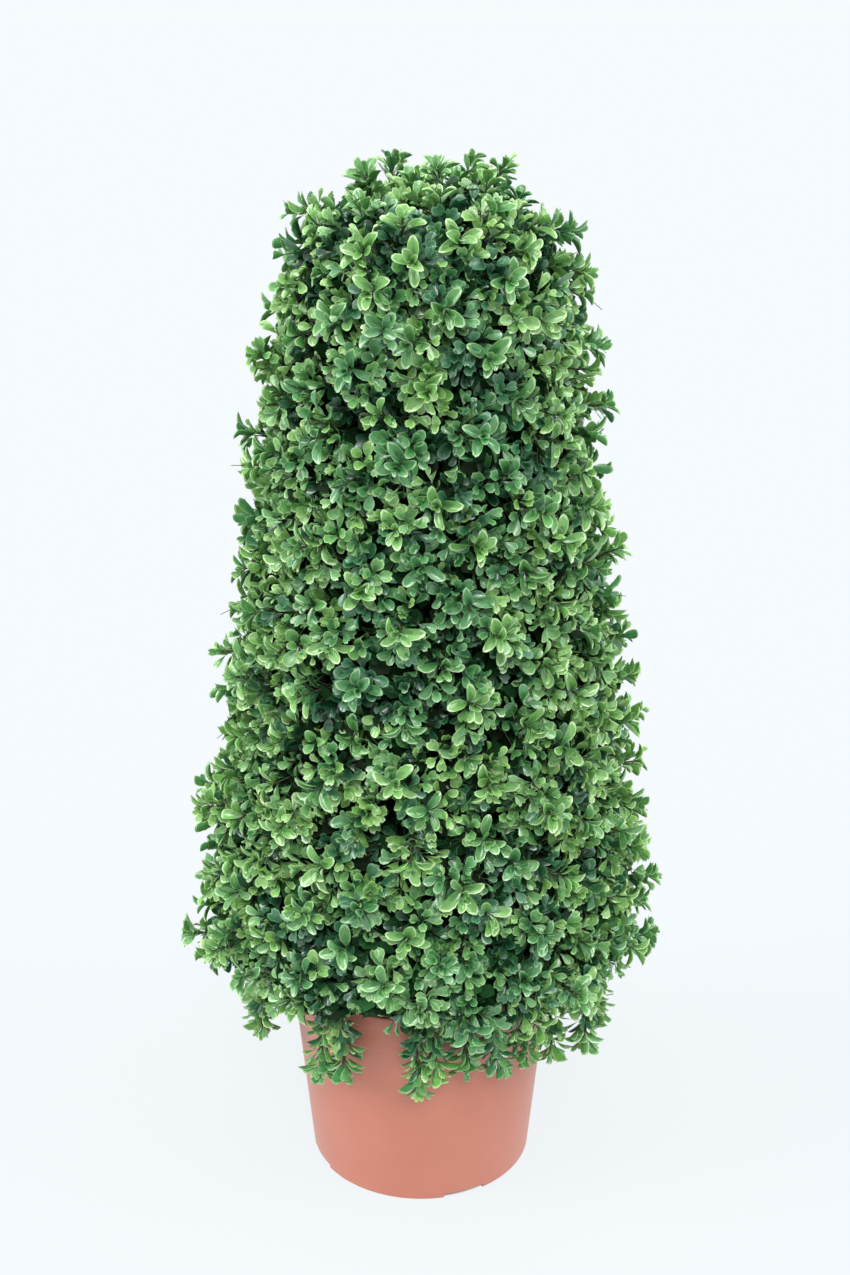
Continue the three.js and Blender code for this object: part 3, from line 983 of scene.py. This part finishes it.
leaf_pieces(
    "notched_leaves", notched_leaves, small_materials,
    rib=[0.0, 0.34, 0.62, 0.815, 0.87],
    edge=[(0.11, 0.24), (0.32, 0.47), (0.49, 0.70), (0.46, 0.91), (0.23, 1.00)],
    inner=[(0.26, 0.51), (0.425, 0.71), (0.27, 0.92)],
    fold=0.20, arch=0.20,
)
leaf_pieces(
    "round_leaves", round_leaves, small_materials,
    rib=[0.0, 0.32, 0.64, 0.94, 1.0],
    edge=[(0.12, 0.20), (0.37, 0.43), (0.47, 0.66), (0.41, 0.87), (0.20, 0.98)],
    inner=[(0.31, 0.46), (0.42, 0.66), (0.36, 0.84)],
    fold=0.18, arch=0.20,
)
leaf_pieces(
    "large_leaves", rosette_leaves, large_materials,
    rib=[0.0, 0.28, 0.60, 0.93, 1.0],
    edge=[(0.20, 0.15), (0.42, 0.35), (0.49, 0.59), (0.44, 0.81), (0.26, 0.955)],
    inner=[(0.36, 0.37), (0.44, 0.59), (0.385, 0.79)],
    fold=0.20, arch=0.24,
)
leaf_pieces(
    "inner_leaves", inner_leaves, inner_materials,
    rib=[0.0, 1.0],
    edge=[(0.45, 0.45), (0.32, 0.95)],
    inner=[],
    fold=0.15, arch=0.3, faces=[(FOOT, [0, 2, 3, 1])],
)

# ---- sticks

sticks = stick_tree()


def stick_piece(name, limbs, steps, foot_thickness, tip_thickness, sides, material, unevenness=0.0):
    """Joined round sticks along the limbs, thinner towards their tips."""
    points = limbs.points(steps)
    count = len(points)
    thickness = 1 + random.uniform(-unevenness, unevenness, (count, steps))
    thickness *= np.linspace(foot_thickness, tip_thickness, steps)
    first = np.arange(count)[:, None] * steps + np.arange(steps - 1)
    edges = np.stack([first, first + 1], axis=-1).reshape(-1, 2)
    mesh = mesh_of(name, points.reshape(-1, 3), edges=edges)
    store(mesh, "thickness", "FLOAT", thickness.astype(np.float32))
    piece = grown(name, mesh, sticks, {"Sides": sides, "Material": material})
    piece.data.shade_smooth()
    pieces.append((piece, "foliage"))


stick_piece("boughs", boughs, 22, 0.0034, 0.0017, 7, bark, unevenness=0.14)
stick_piece("spray_stems", sprays, 6, 0.0014, 0.0008, 4, twig_material)
stick_piece("twigs", twigs, 4, 0.0007, 0.0004, 3, twig_material)
stick_piece("bare_tips", bare_tips, 5, 0.0005, 0.0003, 3, bare_tip_material)

# ---- turned pieces: pot, fill and trunk

SHARP_ANGLE = math.radians(38)


def turned_piece(name, profile, turns, shape, material, part, tip=None):
    """A closed turned shape from a profile that starts and ends on the axis, and a change of shape."""
    radius, height = np.array(profile[1:-1]).T
    rows, columns = len(radius), len(turns)
    points = around(turns)[None, :, :] * radius[:, None, None]
    points[:, :, 2] = height[:, None]
    flat = shape(points, np.broadcast_to(turns, (rows, columns))).reshape(-1, 3)
    foot, head = len(flat), len(flat) + 1
    flat = np.vstack([flat, (0, 0, profile[0][1]), tip or (0, 0, profile[-1][1])])
    last = (rows - 1) * columns
    steps = [(here, (here + 1) % columns) for here in range(columns)]
    faces = [
        (low + here, low + after, low + columns + after, low + columns + here)
        for low in range(0, last, columns)
        for here, after in steps
    ]
    for here, after in steps:
        faces += [(foot, after, here), (head, last + here, last + after)]
    mesh = mesh_of(name, flat, faces=faces)
    mesh.shade_smooth()
    mesh.set_sharp_from_angle(angle=SHARP_ANGLE)
    mesh.materials.append(material)
    pieces.append((new_object(name, mesh), part))


def between(start, end, share):
    return start + (end - start) * share


def rounded(profile, corners, reach):
    """A profile with the numbered corners rounded off."""
    made = []
    for number, point in enumerate(profile):
        if number not in corners:
            made.append(point)
            continue
        here = np.array(point)
        before, after = (np.array(profile[number + way]) - here for way in (-1, 1))
        start, end = (
            here + side / np.linalg.norm(side) * min(reach, np.linalg.norm(side) * 0.45)
            for side in (before, after)
        )
        made += [tuple(p) for p in bend(start, here, end, 3)]
    return made


POT_COLUMNS = 384
NOTCH_EDGE = math.radians(0.10)
NOTCH_CLEARANCE = math.radians(0.4)
NOTCH_STEP = FULL_TURN / NOTCH_COUNT


def notched_turns():
    """Even turns, with a pair of close ones at each side of each foot notch."""
    even = even_turns(POT_COLUMNS)
    middles = FIRST_NOTCH + even_turns(NOTCH_COUNT)
    pairs = [middles + way * (NOTCH_SPAN / 2 + NOTCH_EDGE * side) for way in (-1, 1) for side in (-1, 1)]
    sides = np.concatenate(pairs) % FULL_TURN
    clear = np.min(np.abs(even[:, None] - sides[None, :]), axis=1) > NOTCH_CLEARANCE
    return np.sort(np.concatenate([even[clear], sides]))


def cut_notches(points, turns):
    """Lifts the foot ring's edge between the sides of each notch, and keeps its wall on the pot's slope."""
    from_middle = np.abs((turns - FIRST_NOTCH + NOTCH_STEP / 2) % NOTCH_STEP - NOTCH_STEP / 2)
    low = (points[:, :, 2] < NOTCH_HEIGHT) & (from_middle < NOTCH_SPAN / 2)
    wider = np.where(low & (points[:, :, 2] > 0), pot_radius(NOTCH_HEIGHT) / pot_radius(POT_EDGE), 1)
    points[:, :, :2] *= wider[:, :, None]
    points[:, :, 2] = np.where(low, NOTCH_HEIGHT, points[:, :, 2])
    return points


def moulded_plastic(name, colour, dark, light):
    """Satin moulded plastic: slightly uneven colour and gloss, a fine grain and faint turning lines."""
    material = plain_material(name, colour, 0.42)
    tree = material.node_tree
    place = own_place(tree)
    patches = noise_at(tree, place, 14.0, 5.0)
    gloss = add_node(tree, "ShaderNodeMapRange", {"Value": patches, "To Min": 0.36, "To Max": 0.50})
    stretch = add_node(tree, "ShaderNodeMapping", {"Vector": place, "Scale": (40.0, 40.0, 900.0)})
    lines = noise_at(tree, stretch.outputs["Vector"], 1.0, 2.0)
    grain = noise_at(tree, place, 1400.0, 2.0)
    add_relief(material, multiply_add(tree, lines, 0.6, grain), distance=0.0003, strength=0.35)
    set_shader(material, {
        "Base Color": blended(tree, patches, 0.3, 0.7, dark, light),
        "Roughness": gloss.outputs["Result"],
        "Sheen Weight": 0.10,
        "Sheen Roughness": 0.45,
    })
    return material


pot_floor = FLOOR_LIFT + FLOOR_THICKNESS
ring_inside = POT_FOOT_RADIUS - FOOT_RING_WIDTH
pot_profile = [
    (0, FLOOR_LIFT),
    (ring_inside, FLOOR_LIFT),
    (ring_inside, 0),
    (POT_FOOT_RADIUS - POT_EDGE, 0),
    *((pot_radius(height), height) for height in (POT_EDGE, 0.05, 0.11, BAND_HEIGHT)),
    (pot_radius(BAND_HEIGHT) + BAND_STEP, BAND_HEIGHT + BAND_STEP),
    (pot_radius(LIP_HEIGHT) + BAND_STEP, LIP_HEIGHT),
    (pot_radius(LIP_HEIGHT) + LIP_STEP, LIP_HEIGHT + 0.001),
    (lip_radius, POT_HEIGHT - POT_EDGE),
    (lip_radius - POT_EDGE, POT_HEIGHT),
    (pot_radius(POT_HEIGHT) - POT_WALL, POT_HEIGHT),
    (pot_radius(pot_floor) - POT_WALL, pot_floor),
    (0, pot_floor),
]
terracotta = moulded_plastic(
    "terracotta_plastic", linear(188, 115, 95), linear(184, 111, 91), linear(192, 119, 99)
)
pot_profile = rounded(pot_profile, corners=range(7, 14), reach=0.0006)
turned_piece("pot_shell", pot_profile, notched_turns(), cut_notches, terracotta, "pot")

FILL_COLUMNS = 96
FILL_RINGS = 40
FILL_CENTRE_RADIUS = 0.002
DEEPEST_HOLLOW = 0.0022


def rough_ground(points, turns):
    """Small hollows in the top of the fill, none of them higher than its plain surface."""
    radius = np.hypot(points[:, :, 0], points[:, :, 1])
    inside = radius < pot_radius(FILL_EDGE_HEIGHT) - POT_WALL - 0.001
    top = inside & (points[:, :, 2] > FILL_EDGE_HEIGHT - 0.001)
    points[:, :, 2] -= np.where(top, random.uniform(0, DEEPEST_HOLLOW, radius.shape), 0)
    return points


fill_radius = pot_radius(FILL_EDGE_HEIGHT) - POT_WALL - TOUCH_GAP
fill_bottom = pot_floor + TOUCH_GAP
fill_top = [
    (between(fill_radius, FILL_CENTRE_RADIUS, share), between(FILL_EDGE_HEIGHT, FILL_CENTRE_HEIGHT, share))
    for share in np.linspace(0, 1, FILL_RINGS)
]
fill_profile = [
    (0, fill_bottom),
    (pot_radius(fill_bottom) - POT_WALL - TOUCH_GAP, fill_bottom),
    *fill_top,
    (0, FILL_CENTRE_HEIGHT),
]
earth, _ = grainy_material("dark_fill", linear(44, 36, 30), 0.95, scale=420, distance=0.002, strength=0.8)
turned_piece("dark_fill", fill_profile, even_turns(FILL_COLUMNS), rough_ground, earth, "pot_fill")

TRUNK_COLUMNS = 52
TRUNK_TAPER = 0.0085
FLARE_POWER = 2.2
DEEPEST_FURROW = 0.0014


def barked(points, turns):
    """Furrows that wander round the trunk, and its lean."""
    height = points[:, :, 2]
    wander = 0.5 * np.sin(height * 41 + 1.3) + 0.35 * np.sin(height * 93)
    ridges = 0.5 + 0.5 * np.sin(turns * 13 + wander * 2.4)
    ridges += 0.5 * np.sin(turns * 7 - height * 60) * np.sin(height * 150 + turns * 2)
    radius = np.hypot(points[:, :, 0], points[:, :, 1])
    depth = np.minimum(DEEPEST_FURROW, radius * 0.1)
    deeper = (1 - np.clip(ridges, 0, 1)) * depth / np.maximum(radius, 1e-6)
    points[:, :, :2] *= (1 - deeper)[:, :, None]
    points[:, :, 0] += lean_at(height)
    return points


trunk_foot = FILL_CENTRE_HEIGHT + TOUCH_GAP
trunk_tip = TRUNK_TOP + 0.002
flare_top = trunk_foot + STEM_FLARE_HEIGHT
trunk_profile = [(0, trunk_foot)]
for share in np.linspace(0, 1, 10):
    radius = between(STEM_RADIUS, STEM_FOOT_RADIUS, (1 - share) ** FLARE_POWER)
    trunk_profile.append((radius, between(trunk_foot, flare_top, share)))
for share in np.linspace(0, 1, 120)[1:]:
    trunk_profile.append((STEM_RADIUS - TRUNK_TAPER * share, between(flare_top, TRUNK_TOP, share)))
trunk_profile.append((0, trunk_tip))
turned_piece("trunk", trunk_profile, even_turns(TRUNK_COLUMNS), barked, bark, "stem",
             tip=(lean_at(TRUNK_TOP), 0, trunk_tip))

# ---- finish the pieces

for piece, part in pieces:
    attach(piece, "root")
    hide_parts(part)

# ---- floor, light, camera

PALE = linear(246, 251, 254)
AMBIENT = 0.52
SUNS = [
    # name, energy, turn from the front towards +X, rise and angle
    ("front_light", 1.46, 4, 42, 18),
    ("left_light", 1.96, -72, 34, 30),
    ("right_light", 1.22, 72, 34, 34),
    ("top_light", 1.26, 0, 80, 45),
]
FLOOR_REACH = 600
FLOOR_GLOW = 0.87
SHADE_START = POT_FOOT_RADIUS - 0.0052
SHADE_END = POT_FOOT_RADIUS - 0.0026
GLOSSY_SHARE = 0.3
CAMERA_PLACE = (0.0, -1.373, 1.002)
CAMERA_TILT = math.radians(70.06)
CAMERA_SHIFT = 4 / 1275


def pale_floor():
    """A floor as pale as the studio. It glows, but not under the pot, so a thin shade shows at its foot."""
    sunlight = sum(energy * math.sin(math.radians(rise)) for _, energy, _, rise, _ in SUNS)
    paper_share = (1 - FLOOR_GLOW) / (AMBIENT + sunlight / math.pi)
    paper = plain_material("floor_paper", shaded(PALE, [paper_share] * 3), 0.95, 0.0)
    tree = paper.node_tree
    from_axis = add_node(tree, "ShaderNodeVectorMath", {0: own_place(tree)}, operation="LENGTH")
    glow = add_node(tree, "ShaderNodeMapRange", {
        "Value": from_axis.outputs["Value"],
        "From Min": SHADE_START,
        "From Max": SHADE_END,
        "To Max": FLOOR_GLOW,
    })
    set_shader(paper, {"Emission Color": PALE, "Emission Strength": glow.outputs["Result"]})
    corners = [(-1, -1), (1, -1), (1, 1), (-1, 1)]
    mesh = mesh_of("floor", [(x * FLOOR_REACH, y * FLOOR_REACH, 0) for x, y in corners], faces=[range(4)])
    mesh.materials.append(paper)
    return new_object("floor", mesh)


def pale_world():
    """A pale studio round the plant, dimmer as a light than it looks, so that the leaves keep their shade."""
    world = bpy.data.worlds.new("studio")
    scene.world = world
    world.use_nodes = True
    tree = world.node_tree
    ray = add_node(tree, "ShaderNodeLightPath").outputs
    seen = multiply_add(tree, ray["Is Glossy Ray"], GLOSSY_SHARE, ray["Is Camera Ray"])
    strength = add_node(tree, "ShaderNodeMapRange", {"Value": seen, "To Min": AMBIENT, "To Max": 1.0})
    set_inputs(tree, tree.nodes["Background"], {"Color": PALE, "Strength": strength.outputs["Result"]})


def soft_sun(name, energy, turn, rise, angle):
    """A soft light from far away, at a turn from the front towards +X and a rise above the ground."""
    light = bpy.data.lights.new(name, "SUN")
    light.energy = energy
    light.angle = math.radians(angle)
    new_object(name, light).rotation_euler = (math.radians(90 - rise), 0, math.radians(turn))


floor = pale_floor()
pale_world()
for sun in SUNS:
    soft_sun(*sun)

lens = bpy.data.cameras.new("camera")
lens.lens = 48.0
lens.shift_x = CAMERA_SHIFT
lens.clip_end = 900
camera = new_object("camera", lens)
camera.location = CAMERA_PLACE
camera.rotation_euler = (CAMERA_TILT, 0, 0)
scene.camera = camera
scene.view_settings.view_transform = "Standard"
